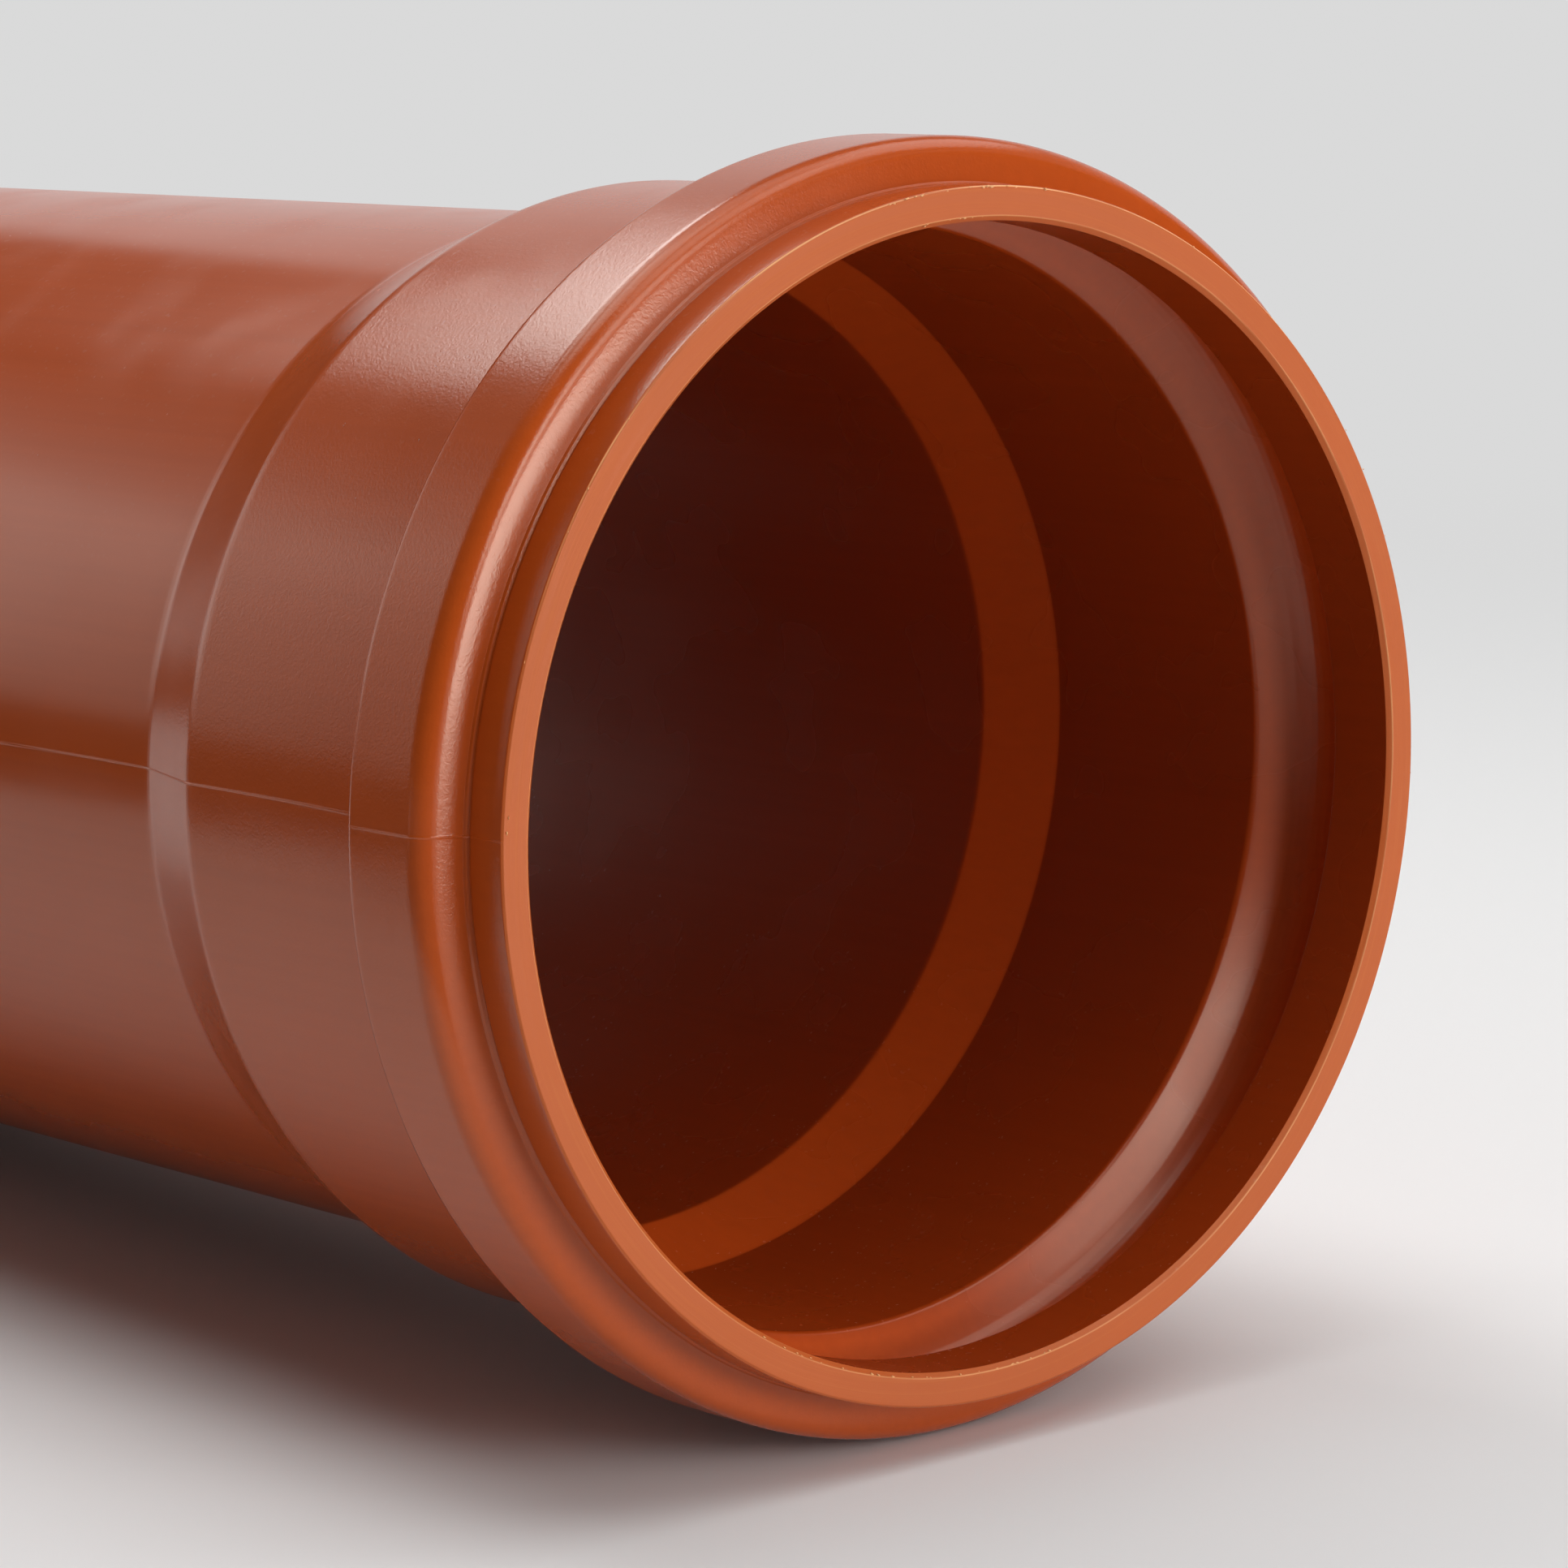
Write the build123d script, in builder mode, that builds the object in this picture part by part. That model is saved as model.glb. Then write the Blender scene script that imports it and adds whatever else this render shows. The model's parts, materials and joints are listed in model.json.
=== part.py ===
"""Plastic drain pipe with a push-fit socket, lying on a level floor.

The pipe is one moulding, a body of revolution. Its section is drawn once, as distances
behind the mouth and distances from the axis, and turned about that axis. The bead round
the socket holds the groove for a ring seal and is wider than the barrel, so the pipe
rests on the bead and on its spigot end, and its axis leans by about two degrees.
"""

import os
from math import atan2, cos, radians, sin, tan

from build123d import *

# Barrel, in millimetres
pipe_outside_diameter = 110.0
pipe_wall = 3.2
laying_length = 242.0

# Spigot end
spigot_chamfer_length = 6.0
spigot_chamfer_angle = 15.0
spigot_edge_round = 0.4

# Socket that takes the next pipe's spigot
spigot_clearance = 0.3
socket_wall = 3.5
socket_depth = 48.9

# Shoulder between socket and barrel
inside_shoulder_length = 8.5
inside_shoulder_round = 1.2
outside_shoulder_start = 51.0
outside_shoulder_length = 12.1
outside_shoulder_crest_round = 2.6
outside_shoulder_foot_round = 3.2

# Lip round the mouth
lip_clearance = 0.8
lip_wall = 3.4
lip_length = 7.9
mouth_chamfer = 0.5
lip_edge_round = 0.4
neck_length = 5.3

# Bead and the ring seal's groove inside it
groove_depth = 4.9
groove_width = 7.4
groove_back_length = 3.4
groove_corner_round = 0.8
groove_back_round = 5.0
groove_rear_round = 0.8
bead_wall = 3.1
bead_width = 12.1
bead_back_length = 2.8
bead_front_setback = 1.0
bead_front_round = 2.2
bead_rear_round = 0.6
bead_foot_round = 1.0

# Radii
pipe_radius = pipe_outside_diameter / 2
bore_radius = pipe_radius - pipe_wall
spigot_end_radius = pipe_radius - spigot_chamfer_length * tan(radians(spigot_chamfer_angle))
socket_radius = pipe_radius + spigot_clearance
socket_outer_radius = socket_radius + socket_wall
lip_radius = socket_radius + lip_clearance
lip_outer_radius = lip_radius + lip_wall
groove_radius = lip_radius + groove_depth
bead_radius = groove_radius + bead_wall

# Distances behind the mouth
bead_front = neck_length + bead_front_setback
bead_rear = neck_length + bead_width
bead_foot = bead_rear + bead_back_length
groove_back = lip_length + groove_width
groove_end = groove_back + groove_back_length
inside_shoulder_end = socket_depth + inside_shoulder_length
outside_shoulder_end = outside_shoulder_start + outside_shoulder_length
pipe_length = socket_depth + laying_length
chamfer_start = pipe_length - spigot_chamfer_length

# Corners of the section, each with its distance behind the mouth, its distance from the
# axis and its rounding: along the outside to the spigot end, and back along the inside.
outside_corners = [
    (0, lip_outer_radius, lip_edge_round),
    (neck_length, lip_outer_radius, 0),
    (bead_front, bead_radius, bead_front_round),
    (bead_rear, bead_radius, bead_rear_round),
    (bead_foot, socket_outer_radius, bead_foot_round),
    (outside_shoulder_start, socket_outer_radius, outside_shoulder_crest_round),
    (outside_shoulder_end, pipe_radius, outside_shoulder_foot_round),
    (chamfer_start, pipe_radius, 0),
    (pipe_length, spigot_end_radius, spigot_edge_round),
]
inside_corners = [
    (pipe_length, bore_radius, 0),
    (inside_shoulder_end, bore_radius, inside_shoulder_round),
    (socket_depth, socket_radius, 0),
    (groove_end, socket_radius, groove_rear_round),
    (groove_back, groove_radius, groove_back_round),
    (lip_length, groove_radius, groove_corner_round),
    (lip_length, lip_radius, 0),
    (mouth_chamfer, lip_radius, 0),
    (0, lip_radius + mouth_chamfer, 0),
]
section_corners = outside_corners + inside_corners

# The pipe leans until the bead's rear edge and the spigot end both touch the floor.
rest_lean = atan2(bead_radius - pipe_radius, chamfer_start - bead_rear)
mouth_height = bead_radius * cos(rest_lean) + bead_rear * sin(rest_lean)
mouth_reach = (lip_outer_radius - lip_edge_round) * sin(rest_lean)
spigot_reach = pipe_length * cos(rest_lean) + spigot_end_radius * sin(rest_lean)
mouth_centre = Vector((spigot_reach - mouth_reach) / 2, 0, mouth_height)
towards_spigot = Vector(-cos(rest_lean), 0, -sin(rest_lean))

section_plane = Plane(origin=mouth_centre, x_dir=towards_spigot, z_dir=(0, 1, 0))

with BuildPart() as socket_pipe:
    with BuildSketch(section_plane) as section:
        with BuildLine():
            FilletPolyline(
                [(place, radius) for place, radius, rounding in section_corners],
                radius=[rounding for place, radius, rounding in section_corners],
                close=True,
            )
        make_face()
    revolve(axis=Axis(mouth_centre, towards_spigot))

socket_pipe.part.label = "socket_pipe"

os.makedirs("parts", exist_ok=True)
export_step(socket_pipe.part, "parts/socket_pipe.step")
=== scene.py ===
"""Looks of the plastic drain pipe, in metres, in the frame of its solid model.

The pipe is drawn as one closed turned mesh with the relief that moulding and trimming leave on it:
the parting ridge along both sides and the trimmed edges of the lip. Burrs on the lip and a few
specks of dust are small meshes of their own.
"""

import json
from math import ceil, cos, hypot, pi, radians, sin, tan

import bpy
import numpy as np
from mathutils import Matrix, Vector


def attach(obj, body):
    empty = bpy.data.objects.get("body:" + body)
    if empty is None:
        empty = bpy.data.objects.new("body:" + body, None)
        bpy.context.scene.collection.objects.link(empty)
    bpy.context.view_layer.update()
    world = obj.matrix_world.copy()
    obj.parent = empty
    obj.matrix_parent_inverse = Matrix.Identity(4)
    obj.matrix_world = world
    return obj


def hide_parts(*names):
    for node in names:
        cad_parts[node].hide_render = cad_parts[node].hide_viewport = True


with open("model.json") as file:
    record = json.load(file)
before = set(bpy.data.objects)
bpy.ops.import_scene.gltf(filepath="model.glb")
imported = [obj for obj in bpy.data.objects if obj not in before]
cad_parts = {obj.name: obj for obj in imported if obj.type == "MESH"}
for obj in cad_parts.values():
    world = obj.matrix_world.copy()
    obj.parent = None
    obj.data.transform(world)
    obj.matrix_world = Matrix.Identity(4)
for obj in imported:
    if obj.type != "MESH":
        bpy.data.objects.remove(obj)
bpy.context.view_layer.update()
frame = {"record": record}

MM = 0.001

# Sizes of the pipe in millimetres, as in its solid model
pipe_radius = 55.0
bore_radius = 51.8
pipe_length = 290.9
spigot_chamfer_length = 6.0
spigot_chamfer_angle = radians(15)
spigot_edge_round = 0.4
socket_radius = 55.3
socket_outer_radius = 58.8
socket_depth = 48.9
inside_shoulder_end = 57.4
inside_shoulder_round = 1.2
outside_shoulder_start = 51.0
outside_shoulder_end = 63.1
lip_radius = 56.1
lip_outer_radius = 59.5
lip_length = 7.9
mouth_chamfer = 0.5
neck_length = 5.3
groove_radius = 61.0
groove_back = 15.3
groove_end = 18.7
groove_corner_round = 0.8
groove_back_round = 5.0
bead_radius = 64.1
bead_front = 6.3
bead_rear = 17.4
bead_foot = 20.2
bead_front_round = 2.2
bead_foot_round = 1.0

# Edges in millimetres that are softer or finer than in the solid model
outside_shoulder_crest_round = 5.0
outside_shoulder_foot_round = 6.0
bead_rear_round = 1.1
lip_trim_width = 0.22
lip_trim_round = 0.18
neck_crease = 0.22
fine_round = 0.07
inner_rim = 56.58
outer_rim = 59.40
rim_width = 0.10
edge_round = 0.15

# Parting ridge in millimetres, along both sides of the pipe and a little above its middle on the left
ridge_angles = (radians(176.7), radians(-4.0))
ridge_height = 0.07
ridge_half_width = 0.06
ridge_half_columns = (0.03, 0.06, 0.1, 0.16, 0.3, 0.5, 0.9, 1.6)

# How the ridge wanders and how uneven it is: sizes, waves in radians to the millimetre, and their starts
ridge_wander = 0.12
wander_waves = (0.11, 0.043)
wander_starts = (2.1, 0.7)
uneven_mean = 0.8
uneven_swing = 0.2
uneven_waves = (0.9, 0.37)
uneven_start = 1.3

# Where the ridge is strong and where it was rubbed down: millimetres behind the mouth, and share
ridge_strength_places = (0.0, 5.0, 7.0, 9.0, 12.0, 18.0, 22.0, 50.0, 63.0, 90.0, 280.0)
ridge_strength_shares = (0.7, 0.8, 1.2, 0.9, 0.2, 0.3, 0.8, 0.9, 0.6, 0.7, 0.5)

# Burrs left by trimming the lip, and grains of dust: how many, between which degrees round the
# axis, at what radius and place behind the mouth, and how long
burr_rows = (
    (16, (80.5, 101.0), 59.32, -0.04, 0.60),
    (7, (88.0, 99.0), 56.44, 0.10, 0.42),
    (22, (236.5, 279.0), 56.44, 0.10, 0.42),
    (3, (174.6, 176.0), 58.90, -0.02, 0.40),
    (6, (118.0, 165.0), 59.42, 0.04, 0.26),
    (5, (20.0, 62.0), 59.42, 0.04, 0.26),
)
dust_rows = (
    (2, (139.8, 140.2), 58.82, 41.7, 0.18),
    (2, (140.6, 141.2), 58.82, 29.1, 0.20),
    (1, (143.9, 143.9), 58.82, 39.6, 0.17),
    (3, (128.0, 150.0), 58.82, 34.0, 0.12),
    (3, (122.0, 150.0), 55.02, 96.0, 0.12),
)
burr_seed = 5
dust_seed = 8

# Shape of one flake: limits for its size, its scatter, its width, its slant and its bulge
flake_sizes = (0.4, 1.3)
flake_scatter = 0.06
flake_widths = (0.4, 0.75)
flake_lift = 0.08
flake_slant = 0.5
flake_outward = (0.5, 1.0)
flake_forward = (0.2, 1.0)
flake_rings = ((-0.2, (0.7, 1.0)), (0.2, (0.6, 1.0)))
flake_thickness = (0.4, 0.8)
flake_tip_lift = (-0.5, 1.0)

# Mesh
columns_round = 264
longest_run = 9.0
shortest_divided_run = 0.5
run_end_margin = 0.3
arc_step = radians(9)
bake_share_of_socket = 0.62

# Resin colours, linear
skin_resin = (0.435, 0.067, 0.008, 1)
bore_resin = (0.33, 0.040, 0.004, 1)
# a paler resin that paints light onto the inside shoulder and the groove
painted_light_resin = (0.52, 0.070, 0.008, 1)
face_resin = (0.46, 0.084, 0.009, 1)
pale_resin = (0.80, 0.40, 0.170, 1)
dust_colour = (0.60, 0.53, 0.47, 1)
resin_ior = 1.53
sheen_tint = (1.0, 0.91, 0.78, 1)

# Patterns in the resin: waves to the millimetre, and how far each is drawn out along the pipe
cloud_waves = 0.045
streak_waves = 0.9
streak_drawing = (1, 1, 0.012)
wrinkle_waves = 2.9
wrinkle_detail = 0.5
wrinkle_distortion = 0.8
line_waves = 2.0
line_drawing = (1, 1, 0.006)
dust_waves = 1.6
dust_limits = (0.62, 0.80)
dust_slopes = (0.1, 1.0)
rub_waves = 0.07
rub_limits = (0.45, 0.75)
tear_waves = 1.5
tear_limits = (0.3, 0.7)

# Skin: where the socket's forming ends, behind the mouth, and its wrinkles and draw lines in millimetres
formed_limits = (66.0, 50.0)
formed_wrinkles = 0.011
barrel_wrinkles = 0.0012
barrel_lines = 0.0013
skin_roughness = 0.20
skin_dust = 0.05
rubbed_share = 0.05
dust_roughness = 0.8

# Bore: where light is painted in as a paler resin, in millimetres behind the mouth, at the inside shoulder
# and in the groove
flare_starts = (48.5, 49.3)
flare_ends = (58.2, 57.0)
groove_starts = (8.5, 12.0)
groove_ends = (19.2, 17.8)
groove_share = 0.9
bore_wrinkles = 0.001
bore_lines = 0.002
bore_roughness = 0.26
bore_dust = 0.02

# Cut faces: the knife's lines, the pale shares they leave and the lip's pale rims, the outer one scraped
# resin and a painted highlight
cut_waves = 3.2
cut_detail = 3.0
cut_drift = (0.02, 0.02, 0.02)
cut_height = 0.02
cut_roughness_limits = (0.3, 0.7)
face_roughness = (0.46, 0.62)
pale_limits = (0.45, 0.75)
pale_share = 0.06
rim_limits = (0.35, 0.6)
least_rim_share = 0.1
inner_rim_share = 0.5
outer_rim_share = 0.9
# painted highlight: the outer rim shows only between these heights in millimetres above the axis, on the
# upper part of the lip
outer_highlight_heights = (15.0, 45.0)
face_dust = 0.10

# Flakes' surface
flake_wrinkles = 0.01
shaving_roughness = (0.38, 0.55)
speck_roughness = (0.7, 0.9)

# Camera, fitted to the photograph
camera_place = Vector((0.54473, -0.36656, 0.16527))
camera_heading = radians(139.5571)
camera_dip = radians(10.3420)
camera_lens = 130.506
camera_sensor = 36.0
camera_clip = 0.01

# Studio
light_target = Vector((0.07, 0.0, 0.05))
floor_half = 20.0
floor_grey = 0.80
backdrop_grey = 0.70
wall_light = 0.72
floor_roughness = 0.7
floor_sheen = 0.2
floor_fade = (0.25, 0.75)
wall_top = (radians(25), radians(33))
room_grey = 0.10
cloth_colour = (0.02, 0.02, 0.02, 1)
cloth_roughness = 0.9
card_step = 5.0
card_lift = 0.002

# Dark cards that the pipe mirrors: bearings and heights in degrees, distance in metres from the light
# target, and whether the card keeps the walls' light off the pipe
dark_cards = (
    ("camera_curtain", (222, 348), (0, 60), 1.6, True),
    ("corner_card", (158, 184), (2, 40), 1.5, False),
    ("far_low_card", (178, 199), (-3, 2.5), 0.95, False),
    ("low_card", (206, 244), (-9, 3), 0.34, False),
    ("front_card", (30, 84), (0, 28), 1.6, True),
)
floor_card = ("near_floor_card", (240, 345), (0.22, 1.5))

# Soft boxes: bearing and height in degrees, distance, width and height in metres, brightness
soft_boxes = (
    ("back_soft_box", 173, 46, 1.2, 0.54, 0.28, 6.0),
    ("back_upper_box", 172, 58, 1.2, 0.50, 0.20, 0.3),
    ("top_far_box", 120, 78, 1.3, 0.9, 0.6, 1.2),
    ("top_near_box", 300, 80, 1.3, 0.7, 0.6, 2.6),
    ("left_high_box", 198, 61, 1.2, 0.5, 0.32, 3.2),
    ("top_left_box", 225, 74, 1.3, 0.6, 0.5, 1.1),
    ("side_soft_box", 80, 52, 1.2, 0.8, 0.5, 1.8),
    ("front_low_box", 18, 5, 1.2, 0.52, 0.36, 8.8),
    ("front_middle_box", 356, 21, 1.2, 0.34, 0.3, 4.4),
    ("front_high_box", 8, 32, 1.2, 0.62, 0.35, 3.2),
    ("front_top_box", 20, 58, 1.2, 0.7, 0.5, 2.1),
    ("left_panel", 201, 15, 1.2, 0.50, 0.45, 0.7),
)

FACE, SKIN, BORE = 0, 1, 2


# Mesh of the pipe

def pipe_matrix():
    """Places the pipe: its Z runs along the axis and out of the mouth, its Y points up."""
    socket = next(m for m in frame["record"]["mounts"] if m["name"] == "socket")
    axis = Vector(socket["axis"]).normalized()
    side = Vector((0, 1, 0))
    up = axis.cross(side)
    mouth = Vector(socket["pos_m"]) + axis * (socket_depth - socket["dims"]["length_mm"] / 2) * MM
    turn = Matrix((side, up, axis)).transposed().to_4x4()
    return Matrix.Translation(mouth) @ turn


def section_corners():
    """Corners of the section: distance behind the mouth, distance from the axis, rounding, surface."""
    chamfer_start = pipe_length - spigot_chamfer_length
    spigot_end_radius = pipe_radius - spigot_chamfer_length * tan(spigot_chamfer_angle)
    trim_radius = lip_outer_radius - lip_trim_width
    return [
        (0, trim_radius, lip_trim_round, FACE),
        (lip_trim_width, lip_outer_radius, edge_round, SKIN),
        (neck_length - 3 * neck_crease, lip_outer_radius, edge_round, SKIN),
        (neck_length - neck_crease, lip_outer_radius - neck_crease, fine_round, SKIN),
        (neck_length - neck_crease / 4, lip_outer_radius + neck_crease / 2, fine_round, SKIN),
        (neck_length + neck_crease, lip_outer_radius + neck_crease, fine_round, SKIN),
        (bead_front, bead_radius, bead_front_round, SKIN),
        (bead_rear, bead_radius, bead_rear_round, SKIN),
        (bead_foot, socket_outer_radius, bead_foot_round, SKIN),
        (outside_shoulder_start, socket_outer_radius, outside_shoulder_crest_round, SKIN),
        (outside_shoulder_end, pipe_radius, outside_shoulder_foot_round, SKIN),
        (chamfer_start, pipe_radius, edge_round, FACE),
        (pipe_length, spigot_end_radius, spigot_edge_round, FACE),
        (pipe_length, bore_radius, edge_round, BORE),
        (inside_shoulder_end, bore_radius, inside_shoulder_round, BORE),
        (socket_depth, socket_radius, edge_round, BORE),
        (groove_end, socket_radius, groove_corner_round, BORE),
        (groove_back, groove_radius, groove_back_round, BORE),
        (lip_length, groove_radius, groove_corner_round, BORE),
        (lip_length, lip_radius, edge_round, BORE),
        (mouth_chamfer, lip_radius, fine_round, FACE),
        (0, lip_radius + mouth_chamfer, fine_round, FACE),
    ]


def turned(spoke, angle):
    """A spoke of the section turned by an angle."""
    return spoke[0] * cos(angle) - spoke[1] * sin(angle), spoke[0] * sin(angle) + spoke[1] * cos(angle)


def rounded_section(corners):
    """Points of the closed section with its corners rounded: place, radius, surface after each point."""
    points = []
    count = len(corners)
    for i, (place, radius, rounding, surface) in enumerate(corners):
        here = np.array((place, radius))
        before = np.array(corners[i - 1][:2]) - here
        after = np.array(corners[(i + 1) % count][:2]) - here
        before /= np.linalg.norm(before)
        after /= np.linalg.norm(after)
        turn = pi - np.arccos(np.clip(before @ after, -1, 1))
        reach = rounding * tan(turn / 2)
        middle = before + after
        centre = here + middle / np.linalg.norm(middle) * hypot(rounding, reach)
        sign = np.sign(before[0] * after[1] - before[1] * after[0])
        steps = max(3, ceil(turn / arc_step))
        for k in range(steps + 1):
            spoke = turned(here + before * reach - centre, -sign * turn * k / steps)
            points.append((centre[0] + spoke[0], centre[1] + spoke[1], surface))
    return points


def divided_runs(points):
    """Adds points on the straight runs: one near each end, to keep them flat, and more along the length."""
    divided = []
    for i, (place, radius, surface) in enumerate(points):
        divided.append((place, radius, surface))
        end_place, end_radius, _ = points[(i + 1) % len(points)]
        length = hypot(end_place - place, end_radius - radius)
        if length < shortest_divided_run:
            continue
        margin = min(run_end_margin, length / 4) / length
        pieces = ceil(length / longest_run)
        for share in [margin] + [k / pieces for k in range(1, pieces)] + [1 - margin]:
            new_place = place + (end_place - place) * share
            new_radius = radius + (end_radius - radius) * share
            divided.append((new_place, new_radius, surface))
    return divided


def column_angles():
    """Angles of the mesh columns round the axis, with narrow ones at the two parting ridges."""
    offsets = [-o for o in ridge_half_columns] + [0.0] + list(ridge_half_columns)
    fine = [middle + offset / socket_outer_radius for middle in ridge_angles for offset in offsets]
    clear = max(offsets) / socket_outer_radius + pi / columns_round
    angles = [a % (2 * pi) for a in fine]
    for k in range(columns_round):
        angle = 2 * pi * k / columns_round
        gaps = [abs((angle - middle + pi) % (2 * pi) - pi) for middle in ridge_angles]
        if min(gaps) > clear:
            angles.append(angle)
    return np.sort(np.array(angles))


def ridge_relief(place, angle, surface):
    """Height in millimetres of the parting ridge, which wanders and thins along the outside."""
    height = np.zeros(np.broadcast(place, angle).shape)
    strength = np.interp(place, ridge_strength_places, ridge_strength_shares)
    for n, middle in enumerate(ridge_angles):
        wander = ridge_wander * np.sin(place * wander_waves[0] + wander_starts[0] * n)
        wander = wander * np.sin(place * wander_waves[1] + wander_starts[1])
        offset = ((angle - middle + pi) % (2 * pi) - pi) * socket_outer_radius - wander
        uneven = uneven_swing * np.sin(place * uneven_waves[0] + n)
        uneven = uneven_mean + uneven * np.sin(place * uneven_waves[1] + uneven_start)
        height += ridge_height * strength * uneven * np.exp(-(offset / ridge_half_width) ** 2)
    return height * (surface == SKIN)


def bake_map(mesh, place, radius, angles):
    """Unrolls the pipe to a map, with more room for the socket end than for the long barrel."""
    length = np.hypot(np.roll(place, -1) - place, np.roll(radius, -1) - radius)
    near = place < outside_shoulder_end + longest_run
    near_scale = bake_share_of_socket / length[near].sum()
    far_scale = (1 - bake_share_of_socket) / length[~near].sum()
    room = length * np.where(near, near_scale, far_scale)
    top = np.cumsum(room)
    bottom = top - room
    left = angles / (2 * pi)
    right = np.append(left[1:], 1 + left[0])
    rows, columns = len(place), len(angles)
    across = np.broadcast_to(np.stack([left, left, right, right], 1), (rows, columns, 4))
    upward = np.broadcast_to(np.stack([bottom, top, top, bottom], 1)[:, None], (rows, columns, 4))
    spread = np.stack([(across - left[0]), upward], 3)
    layer = mesh.uv_layers.new(name="OFBake")
    layer.data.foreach_set("uv", spread.reshape(-1).astype(np.float32))


def pipe_mesh():
    """The turned mesh of the whole pipe, closed, with its relief."""
    points = divided_runs(rounded_section(section_corners()))
    place, radius, surface = (np.array(column) for column in zip(*points))
    along = np.stack([np.roll(place, -1) - np.roll(place, 1), np.roll(radius, -1) - np.roll(radius, 1)], 1)
    along /= np.linalg.norm(along, axis=1)[:, None]
    outward = np.stack([-along[:, 1], along[:, 0]], 1)
    angles = column_angles()
    relief = ridge_relief(place[:, None], angles[None, :], surface[:, None])
    deep = place[:, None] + outward[:, :1] * relief
    wide = radius[:, None] + outward[:, 1:] * relief
    spots = np.stack([wide * np.cos(angles), wide * np.sin(angles), -deep], 2) * MM
    rows, columns = wide.shape
    index = np.arange(rows * columns).reshape(rows, columns)
    below, right = np.roll(index, -1, 0), np.roll(index, -1, 1)
    quads = np.stack([index, below, np.roll(below, -1, 1), right], 2).reshape(-1, 4)
    mesh = bpy.data.meshes.new("pipe_moulding")
    mesh.from_pydata(spots.reshape(-1, 3).tolist(), [], quads.tolist())
    mesh.polygons.foreach_set("material_index", np.repeat(surface, columns).astype(np.int32))
    bake_map(mesh, place, radius, angles)
    mesh.shade_smooth()
    mesh.update()
    return mesh


# Shader nodes

def fill(tree, node, values):
    """Fills or links a node's inputs by name or number."""
    for socket, value in dict(values).items():
        if isinstance(value, bpy.types.NodeSocket):
            tree.links.new(value, node.inputs[socket])
        else:
            node.inputs[socket].default_value = value


def put(tree, kind, values=(), **options):
    """Adds a node, sets its options and fills its inputs."""
    node = tree.nodes.new(kind)
    for option, value in options.items():
        setattr(node, option, value)
    fill(tree, node, values)
    return node


def sums(tree, operation, *values):
    """The result of a Math node."""
    return put(tree, "ShaderNodeMath", enumerate(values), operation=operation).outputs[0]


def ranged(tree, value, low, high, to_low=0.0, to_high=1.0):
    """A value carried smoothly from one range to another."""
    node = put(tree, "ShaderNodeMapRange", {"Value": value}, interpolation_type="SMOOTHSTEP")
    for socket, limit in zip(("From Min", "From Max", "To Min", "To Max"), (low, high, to_low, to_high)):
        node.inputs[socket].default_value = limit
    return node.outputs["Result"]


def noise(tree, spot, per_mm, detail=2.0, distortion=0.0):
    """Noise over the surface, with so many waves to the millimetre."""
    values = {"Vector": spot, "Scale": per_mm, "Detail": detail, "Distortion": distortion}
    return put(tree, "ShaderNodeTexNoise", values).outputs["Fac"]


def stretched(tree, spot, shares):
    """A spot with its three directions scaled, to draw a pattern out along one of them."""
    return put(tree, "ShaderNodeVectorMath", {0: spot, 1: shares}, operation="MULTIPLY").outputs[0]


def tinted(tree, share, first, second):
    """Two colours mixed by a mask."""
    return put(tree, "ShaderNodeMix", {"Factor": share, 6: first, 7: second}, data_type="RGBA").outputs[2]


def new_group(name, inputs, outputs):
    """An empty shader group with named sockets: the group, its inputs and its output node."""
    group = bpy.data.node_groups.new(name, "ShaderNodeTree")
    for socket, kind in inputs:
        group.interface.new_socket(name=socket, in_out="INPUT", socket_type="NodeSocket" + kind)
    for socket, kind in outputs:
        group.interface.new_socket(name=socket, in_out="OUTPUT", socket_type="NodeSocket" + kind)
    return group, group.nodes.new("NodeGroupInput").outputs, group.nodes.new("NodeGroupOutput").inputs


def pipe_place_group():
    """Where a point lies on the pipe, in millimetres: a spot in the pipe's own directions."""
    outputs = [("Spot", "Vector"), ("Behind Mouth", "Float"), ("Radius", "Float")]
    group, _, result = new_group("pipe_place", [], outputs)
    matrix = pipe_matrix()
    coordinates = put(group, "ShaderNodeTexCoord").outputs["Object"]
    values = {"Vector": coordinates, "Scale": (MM, MM, MM)}
    values.update({"Location": matrix.translation, "Rotation": matrix.to_euler()})
    spot = put(group, "ShaderNodeMapping", values, vector_type="TEXTURE").outputs[0]
    parts = put(group, "ShaderNodeSeparateXYZ", {0: spot}).outputs
    group.links.new(spot, result["Spot"])
    group.links.new(sums(group, "MULTIPLY", parts[2], -1.0), result["Behind Mouth"])
    sideways = sums(group, "MULTIPLY", parts[0], parts[0])
    upright = sums(group, "MULTIPLY", parts[1], parts[1])
    square = sums(group, "ADD", sideways, upright)
    group.links.new(sums(group, "SQRT", square), result["Radius"])
    return group


def resin_tint_group():
    """The resin's colour, with faint clouds of pigment and streaks drawn out along the pipe."""
    inputs = [("Spot", "Vector"), ("Resin", "Color"), ("Clouds", "Float"), ("Streaks", "Float")]
    group, given, result = new_group("resin_tint", inputs, [("Colour", "Color")])
    cloud = sums(group, "SUBTRACT", noise(group, given["Spot"], cloud_waves, 1.0), 0.5)
    drawn = stretched(group, given["Spot"], streak_drawing)
    streak = sums(group, "SUBTRACT", noise(group, drawn, streak_waves, 1.0), 0.5)
    clouded = sums(group, "MULTIPLY", cloud, given["Clouds"])
    streaked = sums(group, "MULTIPLY", streak, given["Streaks"])
    change = sums(group, "ADD", sums(group, "ADD", clouded, streaked), 1.0)
    lit = put(group, "ShaderNodeHueSaturation", {"Color": given["Resin"], "Value": change})
    group.links.new(lit.outputs[0], result["Colour"])
    return group


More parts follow.
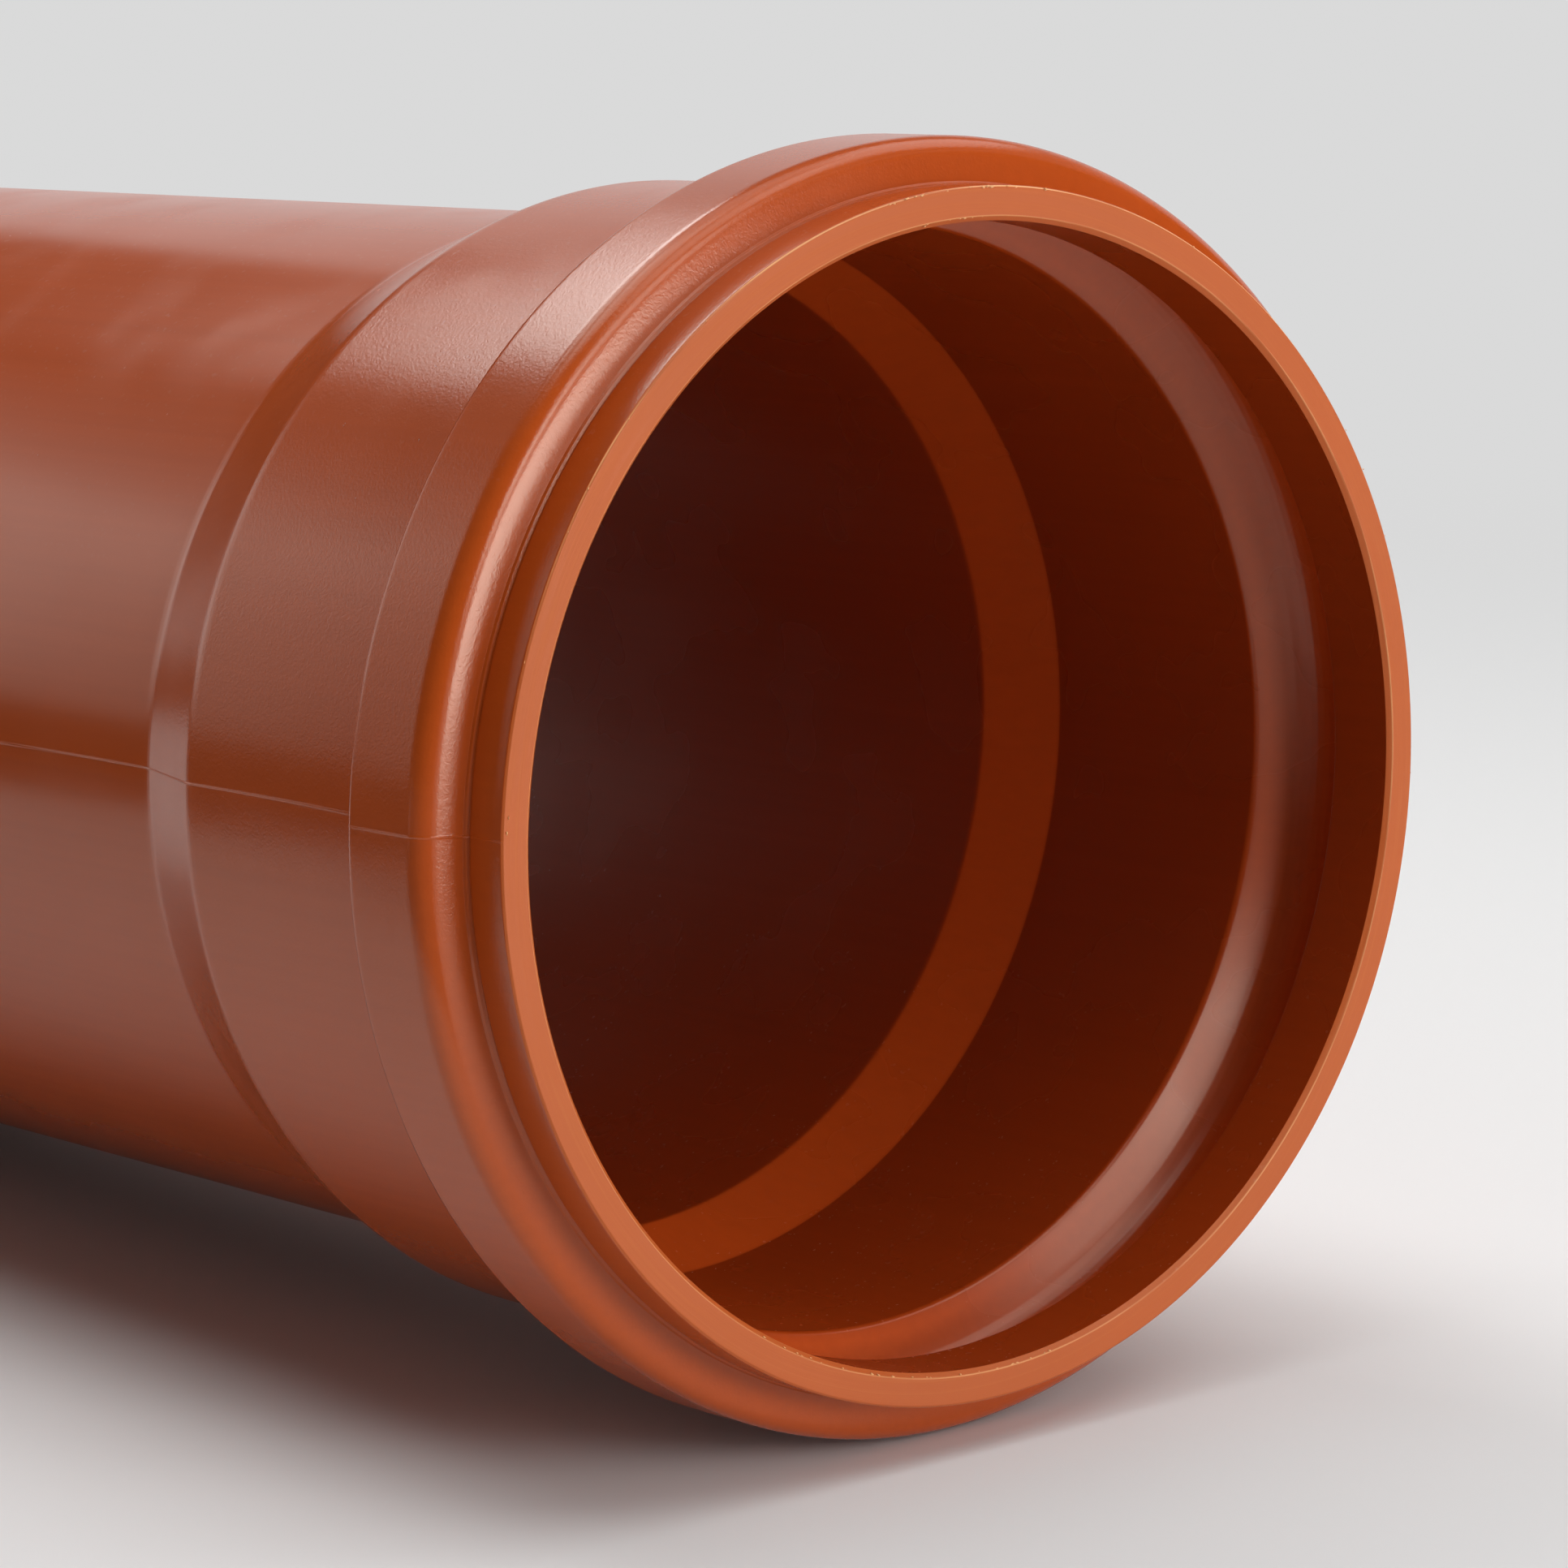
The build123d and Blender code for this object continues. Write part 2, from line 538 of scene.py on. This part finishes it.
def mould_grain_group():
    """Height in millimetres of the fine wrinkles and the draw lines of a formed plastic surface."""
    inputs = [("Spot", "Vector"), ("Wrinkles", "Float"), ("Draw Lines", "Float")]
    group, given, result = new_group("mould_grain", inputs, [("Height", "Float")])
    wrinkle = noise(group, given["Spot"], wrinkle_waves, wrinkle_detail, wrinkle_distortion)
    line = noise(group, stretched(group, given["Spot"], line_drawing), line_waves, 1.0)
    height = sums(group, "MULTIPLY", wrinkle, given["Wrinkles"])
    height = sums(group, "ADD", height, sums(group, "MULTIPLY", line, given["Draw Lines"]))
    group.links.new(height, result["Height"])
    return group


def settled_dust_group():
    """Mask of fine dust that lies on what faces up."""
    inputs = [("Spot", "Vector"), ("Amount", "Float")]
    group, given, result = new_group("settled_dust", inputs, [("Mask", "Float")])
    normal = put(group, "ShaderNodeNewGeometry").outputs["Normal"]
    upward = ranged(group, put(group, "ShaderNodeSeparateXYZ", {0: normal}).outputs[2], *dust_slopes)
    speckle = ranged(group, noise(group, given["Spot"], dust_waves, 1.0), *dust_limits)
    lying = sums(group, "MULTIPLY", upward, speckle)
    group.links.new(sums(group, "MULTIPLY", lying, given["Amount"]), result["Mask"])
    return group


def rubbed_patches_group():
    """Mask of faint patches that handling has rubbed duller."""
    inputs = [("Spot", "Vector"), ("Amount", "Float")]
    group, given, result = new_group("rubbed_patches", inputs, [("Mask", "Float")])
    rubbed = ranged(group, noise(group, given["Spot"], rub_waves, 2.0), *rub_limits)
    group.links.new(sums(group, "MULTIPLY", rubbed, given["Amount"]), result["Mask"])
    return group


pipe_place = pipe_place_group()
resin_tint = resin_tint_group()
mould_grain = mould_grain_group()
settled_dust = settled_dust_group()
rubbed_patches = rubbed_patches_group()


def use(tree, group, values=()):
    """Places a group in a material and gives its outputs."""
    node = tree.nodes.new("ShaderNodeGroup")
    node.node_tree = group
    fill(tree, node, values)
    return node.outputs


def new_material(name):
    """A material with its Principled shader set up for the resin."""
    material = bpy.data.materials.new(name)
    material.use_nodes = True
    shader = material.node_tree.nodes["Principled BSDF"]
    shader.inputs["IOR"].default_value = resin_ior
    shader.inputs["Specular Tint"].default_value = sheen_tint
    return material, material.node_tree, shader


def dress(tree, shader, colour, roughness, height):
    """Links a colour, a roughness and a height in millimetres to the shader."""
    tree.links.new(colour, shader.inputs["Base Color"])
    tree.links.new(roughness, shader.inputs["Roughness"])
    bump = put(tree, "ShaderNodeBump", {"Height": height, "Distance": MM, "Strength": 1.0})
    tree.links.new(bump.outputs[0], shader.inputs["Normal"])


def resin_colour(tree, spot, resin, clouds, streaks):
    """The resin's colour with so strong clouds and streaks."""
    values = {"Spot": spot, "Resin": resin, "Clouds": clouds, "Streaks": streaks}
    return use(tree, resin_tint, values)["Colour"]


def worn_roughness(tree, roughness, marks, dust):
    """A roughness raised by rubbed marks and by dust."""
    worn = sums(tree, "ADD", roughness, marks)
    return sums(tree, "ADD", worn, sums(tree, "MULTIPLY", dust, dust_roughness))


def moulded_skin():
    """The outside: wrinkled where the socket was formed, smooth with draw lines along the barrel."""
    material, tree, shader = new_material("moulded_skin")
    place = use(tree, pipe_place)
    spot = place["Spot"]
    formed = ranged(tree, place["Behind Mouth"], *formed_limits)
    colour = resin_colour(tree, spot, skin_resin, 0.10, 0.10)
    dust = use(tree, settled_dust, {"Spot": spot, "Amount": skin_dust})["Mask"]
    marks = use(tree, rubbed_patches, {"Spot": spot, "Amount": rubbed_share})["Mask"]
    wrinkles = sums(tree, "MULTIPLY_ADD", formed, formed_wrinkles, barrel_wrinkles)
    lines = sums(tree, "MULTIPLY_ADD", formed, -barrel_lines, barrel_lines)
    grain = use(tree, mould_grain, {"Spot": spot, "Wrinkles": wrinkles, "Draw Lines": lines})
    rough = worn_roughness(tree, skin_roughness, marks, dust)
    dress(tree, shader, tinted(tree, dust, colour, dust_colour), rough, grain["Height"])
    return material


def smooth_bore():
    """The inside: smooth, with faint lines drawn along it, and painted light on its shoulder and groove."""
    material, tree, shader = new_material("smooth_bore")
    place = use(tree, pipe_place)
    spot = place["Spot"]
    behind = place["Behind Mouth"]
    # painted light: the inside shoulder and the groove get a paler resin in place of the light that falls on
    # them
    flare = sums(tree, "MULTIPLY", ranged(tree, behind, *flare_starts), ranged(tree, behind, *flare_ends))
    groove = sums(tree, "MULTIPLY", ranged(tree, behind, *groove_starts), ranged(tree, behind, *groove_ends))
    painted_light_share = sums(tree, "MAXIMUM", flare, sums(tree, "MULTIPLY", groove, groove_share))
    resin = tinted(tree, painted_light_share, bore_resin, painted_light_resin)
    colour = resin_colour(tree, spot, resin, 0.10, 0.12)
    dust = use(tree, settled_dust, {"Spot": spot, "Amount": bore_dust})["Mask"]
    marks = use(tree, rubbed_patches, {"Spot": spot, "Amount": rubbed_share})["Mask"]
    grain = use(tree, mould_grain, {"Spot": spot, "Wrinkles": bore_wrinkles, "Draw Lines": bore_lines})
    rough = worn_roughness(tree, bore_roughness, marks, dust)
    dress(tree, shader, tinted(tree, dust, colour, dust_colour), rough, grain["Height"])
    return material


def pale_rim(tree, place, cut, rim_radius, share):
    """Mask of the thin pale line along an edge of the lip, scraped by the knife; on the outer edge partly a
    painted highlight.
    """
    off_rim = sums(tree, "ABSOLUTE", sums(tree, "SUBTRACT", place["Radius"], rim_radius))
    at_mouth = ranged(tree, place["Behind Mouth"], neck_length, lip_trim_width)
    rim = sums(tree, "MULTIPLY", ranged(tree, off_rim, rim_width, rim_width / 3), at_mouth)
    return sums(tree, "MULTIPLY", rim, ranged(tree, cut, *rim_limits, least_rim_share, share))


def turned_face():
    """The trimmed end faces: paler, with fine lines round them from the trimming knife."""
    material, tree, shader = new_material("turned_face")
    place = use(tree, pipe_place)
    spot = place["Spot"]
    rings = put(tree, "ShaderNodeCombineXYZ", {0: place["Radius"], 1: place["Behind Mouth"]})
    values = {0: stretched(tree, spot, cut_drift), 1: rings.outputs[0]}
    drift = put(tree, "ShaderNodeVectorMath", values, operation="ADD")
    cut = noise(tree, drift.outputs[0], cut_waves, cut_detail)
    colour = resin_colour(tree, spot, face_resin, 0.12, 0.0)
    pale = sums(tree, "MULTIPLY", ranged(tree, cut, *pale_limits), pale_share)
    dust = use(tree, settled_dust, {"Spot": spot, "Amount": face_dust})["Mask"]
    rough = ranged(tree, cut, *cut_roughness_limits, *face_roughness)
    height = sums(tree, "MULTIPLY", cut, cut_height)
    upward = put(tree, "ShaderNodeSeparateXYZ", {0: spot}).outputs[1]
    inner = pale_rim(tree, place, cut, inner_rim, inner_rim_share)
    outer = pale_rim(tree, place, cut, outer_rim, outer_rim_share)
    # painted highlight: the outer rim is kept only on the upper part of the lip, where light falls on it
    outer = sums(tree, "MULTIPLY", outer, ranged(tree, upward, *outer_highlight_heights))
    rims_and_highlight = sums(tree, "MAXIMUM", inner, outer)
    scraped_and_highlight = tinted(tree, sums(tree, "MAXIMUM", pale, rims_and_highlight), colour, pale_resin)
    dress(tree, shader, tinted(tree, dust, scraped_and_highlight, dust_colour), rough, height)
    return material


def pale_shaving():
    """Torn edges and shavings: stretched pale, with a dull cut surface."""
    material, tree, shader = new_material("pale_shaving")
    spot = use(tree, pipe_place)["Spot"]
    colour = resin_colour(tree, spot, pale_resin, 0.3, 0.0)
    grain = use(tree, mould_grain, {"Spot": spot, "Wrinkles": flake_wrinkles, "Draw Lines": 0.0})
    rough = ranged(tree, noise(tree, spot, tear_waves), *tear_limits, *shaving_roughness)
    dress(tree, shader, colour, rough, grain["Height"])
    return material


def dust_speck():
    """Grains of pale building dust."""
    material, tree, shader = new_material("dust_speck")
    spot = use(tree, pipe_place)["Spot"]
    colour = resin_colour(tree, spot, dust_colour, 0.3, 0.0)
    grain = use(tree, mould_grain, {"Spot": spot, "Wrinkles": flake_wrinkles, "Draw Lines": 0.0})
    rough = ranged(tree, noise(tree, spot, tear_waves), *tear_limits, *speck_roughness)
    dress(tree, shader, colour, rough, grain["Height"])
    return material


# Pieces

def add_mesh_piece(name, mesh, materials):
    """Places a piece of the pipe, whose mesh is in the pipe's own directions."""
    piece = bpy.data.objects.new(name, mesh)
    bpy.context.scene.collection.objects.link(piece)
    for material in materials:
        mesh.materials.append(material)
    mesh.transform(pipe_matrix())
    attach(piece, "root")
    return piece


def flake(rng, place, radius, angle, length, width, lift):
    """One closed flake of torn resin or dust: two tips and two bent rings of four points between them."""
    outward = np.array((cos(angle), sin(angle), 0.0))
    round_way = np.array((-sin(angle), cos(angle), 0.0))
    out_of_mouth = np.array((0.0, 0.0, 1.0))
    slant = rng.uniform(-flake_slant, flake_slant)
    along = round_way * cos(slant) + (outward + out_of_mouth) * sin(slant) / 2
    across = outward * rng.uniform(*flake_outward) + out_of_mouth * rng.uniform(*flake_forward)
    across /= np.linalg.norm(across)
    thick = np.cross(along, across)
    middle = outward * radius - out_of_mouth * place
    spots = [middle - along * length / 2]
    rings = [(share, rng.uniform(*bulges)) for share, bulges in flake_rings]
    for share, bulge in rings:
        centre = middle + along * length * share + across * lift
        for turn in range(4):
            side = across * cos(pi / 2 * turn) + thick * sin(pi / 2 * turn) * rng.uniform(*flake_thickness)
            spots.append(centre + side * width / 2 * bulge)
    spots.append(middle + along * length / 2 + across * lift * rng.uniform(*flake_tip_lift))
    faces = [(0, 1 + (k + 1) % 4, 1 + k) for k in range(4)]
    faces += [(1 + k, 1 + (k + 1) % 4, 5 + (k + 1) % 4, 5 + k) for k in range(4)]
    faces += [(9, 5 + k, 5 + (k + 1) % 4) for k in range(4)]
    return spots, faces


def flakes_mesh(name, seed, rows):
    """A mesh of many flakes, each row with a count, a run of angles, a radius, a place and a size."""
    rng = np.random.default_rng(seed)
    spots, faces = [], []
    for count, angles, radius, place, length in rows:
        for angle in rng.uniform(*angles, count):
            size = length * rng.uniform(*flake_sizes)
            far = radius + rng.uniform(-flake_scatter, flake_scatter)
            width = size * rng.uniform(*flake_widths)
            made = flake(rng, place, far, radians(angle), size, width, size * flake_lift)
            faces += [tuple(i + len(spots) for i in face) for face in made[1]]
            spots += made[0]
    mesh = bpy.data.meshes.new(name)
    mesh.from_pydata((np.array(spots) * MM).tolist(), [], faces)
    return mesh


def add_burrs():
    """The burrs on the edges of the lip."""
    burrs = add_mesh_piece("lip_burrs", flakes_mesh("lip_burrs", burr_seed, burr_rows), [pale_shaving()])
    burrs.data.shade_smooth()


def add_dust():
    """The grains of dust on the socket and the barrel."""
    add_mesh_piece("dust_specks", flakes_mesh("dust_specks", dust_seed, dust_rows), [dust_speck()])


def add_pipe():
    """The pipe itself, in place of its solid."""
    pipe = add_mesh_piece("pipe_moulding", pipe_mesh(), [turned_face(), moulded_skin(), smooth_bore()])
    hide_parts("socket_pipe")


# Studio

def link(thing):
    """Puts an object into the scene."""
    bpy.context.scene.collection.objects.link(thing)
    return thing


def seen_rays(tree):
    """One for the rays that show the backdrop: to the camera, in a mirror image or through a clear piece."""
    path = put(tree, "ShaderNodeLightPath").outputs
    seen = sums(tree, "MAXIMUM", path["Is Camera Ray"], path["Is Glossy Ray"])
    return sums(tree, "MAXIMUM", seen, path["Is Transmission Ray"])


def pale_floor():
    """A pale lit floor that keeps the shadow, and turns to an even pale backdrop far from the pipe."""
    material, tree, shader = new_material("pale_floor")
    shader.inputs["Base Color"].default_value = (floor_grey, floor_grey, floor_grey, 1)
    shader.inputs["Roughness"].default_value = floor_roughness
    shader.inputs["Specular IOR Level"].default_value = floor_sheen
    spot = put(tree, "ShaderNodeTexCoord").outputs["Object"]
    far = put(tree, "ShaderNodeVectorMath", {0: spot, 1: light_target}, operation="DISTANCE")
    backdrop = (backdrop_grey, backdrop_grey, backdrop_grey, 1)
    glow = put(tree, "ShaderNodeEmission", {"Color": backdrop, "Strength": 1.0})
    faded = ranged(tree, far.outputs["Value"], *floor_fade)
    share = sums(tree, "MULTIPLY", faded, seen_rays(tree))
    mix = put(tree, "ShaderNodeMixShader", {0: share, 1: shader.outputs[0], 2: glow.outputs[0]})
    tree.links.new(mix.outputs[0], tree.nodes["Material Output"].inputs["Surface"])
    return material


def add_floor():
    """The level floor that the pipe lies on."""
    corners = [(x * floor_half, y * floor_half, 0) for x, y in ((-1, -1), (1, -1), (1, 1), (-1, 1))]
    mesh = bpy.data.meshes.new("floor")
    mesh.from_pydata(corners, [], [(0, 1, 2, 3)])
    mesh.materials.append(pale_floor())
    link(bpy.data.objects.new("floor", mesh))


def from_target(bearing, height, distance):
    """A place seen from the pipe at a bearing and a height in degrees, so far away in metres."""
    level = cos(radians(height))
    way = Vector((cos(radians(bearing)) * level, sin(radians(bearing)) * level, sin(radians(height))))
    return light_target + way * distance


def add_soft_box(name, bearing, height, distance, width, tall, brightness):
    """A soft box that faces the pipe; its power gives the brightness of its front."""
    lamp = bpy.data.lights.new(name, "AREA")
    lamp.shape = "RECTANGLE"
    lamp.size = width
    lamp.size_y = tall
    lamp.energy = brightness * pi * width * tall
    holder = link(bpy.data.objects.new(name, lamp))
    holder.location = from_target(bearing, height, distance)
    holder.rotation_euler = (light_target - holder.location).to_track_quat("-Z", "Y").to_euler()
    holder.visible_camera = False


def dark_cloth():
    """Black cloth on the cards."""
    material, tree, shader = new_material("dark_cloth")
    shader.inputs["Base Color"].default_value = cloth_colour
    shader.inputs["Roughness"].default_value = cloth_roughness
    return material


def card_turns(bearings):
    """Bearings of the columns of a card that bends round the pipe."""
    steps = ceil((bearings[1] - bearings[0]) / card_step)
    return [bearings[0] + (bearings[1] - bearings[0]) * k / steps for k in range(steps + 1)]


def add_dark_card(name, bearings, heights, distance, shades):
    """A dark card that the pipe mirrors: it bends round the pipe between two bearings and two heights.

    It can keep the light of the walls off the pipe as well.
    """
    turns = card_turns(bearings)
    spots = [from_target(turn, height, distance) for turn in turns for height in heights]
    mesh = bpy.data.meshes.new(name)
    mesh.from_pydata(spots, [], [(2 * k, 2 * k + 2, 2 * k + 3, 2 * k + 1) for k in range(len(turns) - 1)])
    mesh.materials.append(dark_cloth())
    card = link(bpy.data.objects.new(name, mesh))
    card.visible_camera = False
    card.visible_shadow = shades


def add_floor_card(name, bearings, distances):
    """A dark card on the floor outside the picture, a part of a ring round the pipe.

    Only the mirror image in the pipe shows it, so the floor under it stays lit.
    """
    turns = card_turns(bearings)
    middle = light_target.xy
    spots = []
    for turn in turns:
        way = Vector((cos(radians(turn)), sin(radians(turn))))
        spots += [(*(middle + way * distance), card_lift) for distance in distances]
    mesh = bpy.data.meshes.new(name)
    mesh.from_pydata(spots, [], [(2 * k, 2 * k + 1, 2 * k + 3, 2 * k + 2) for k in range(len(turns) - 1)])
    mesh.materials.append(dark_cloth())
    card = link(bpy.data.objects.new(name, mesh))
    card.visible_camera = False
    card.visible_diffuse = False
    card.visible_shadow = False


def add_world():
    """Pale studio walls up to the height of the backdrop, and a dim room above them."""
    world = bpy.data.worlds.new("studio")
    bpy.context.scene.world = world
    world.use_nodes = True
    tree = world.node_tree
    way = put(tree, "ShaderNodeTexCoord").outputs["Generated"]
    upward = put(tree, "ShaderNodeSeparateXYZ", {0: way}).outputs[2]
    wall = ranged(tree, upward, sin(wall_top[0]), sin(wall_top[1]), backdrop_grey, room_grey)
    background = tree.nodes["Background"]
    grey = put(tree, "ShaderNodeCombineColor", {0: wall, 1: wall, 2: wall})
    tree.links.new(grey.outputs[0], background.inputs["Color"])
    strength = sums(tree, "MULTIPLY_ADD", seen_rays(tree), 1 - wall_light, wall_light)
    tree.links.new(strength, background.inputs["Strength"])


def add_camera():
    """The camera of the photograph."""
    lens = bpy.data.cameras.new("camera")
    lens.lens = camera_lens
    lens.sensor_width = camera_sensor
    lens.clip_start = camera_clip
    camera = link(bpy.data.objects.new("camera", lens))
    camera.location = camera_place
    camera.rotation_euler = (pi / 2 - camera_dip, 0, camera_heading - pi / 2)
    bpy.context.scene.camera = camera


add_pipe()
add_burrs()
add_dust()
add_floor()
add_camera()
add_world()
for card in dark_cards:
    add_dark_card(*card)
add_floor_card(*floor_card)
for soft_box in soft_boxes:
    add_soft_box(*soft_box)

bpy.context.scene.view_settings.view_transform = "Standard"
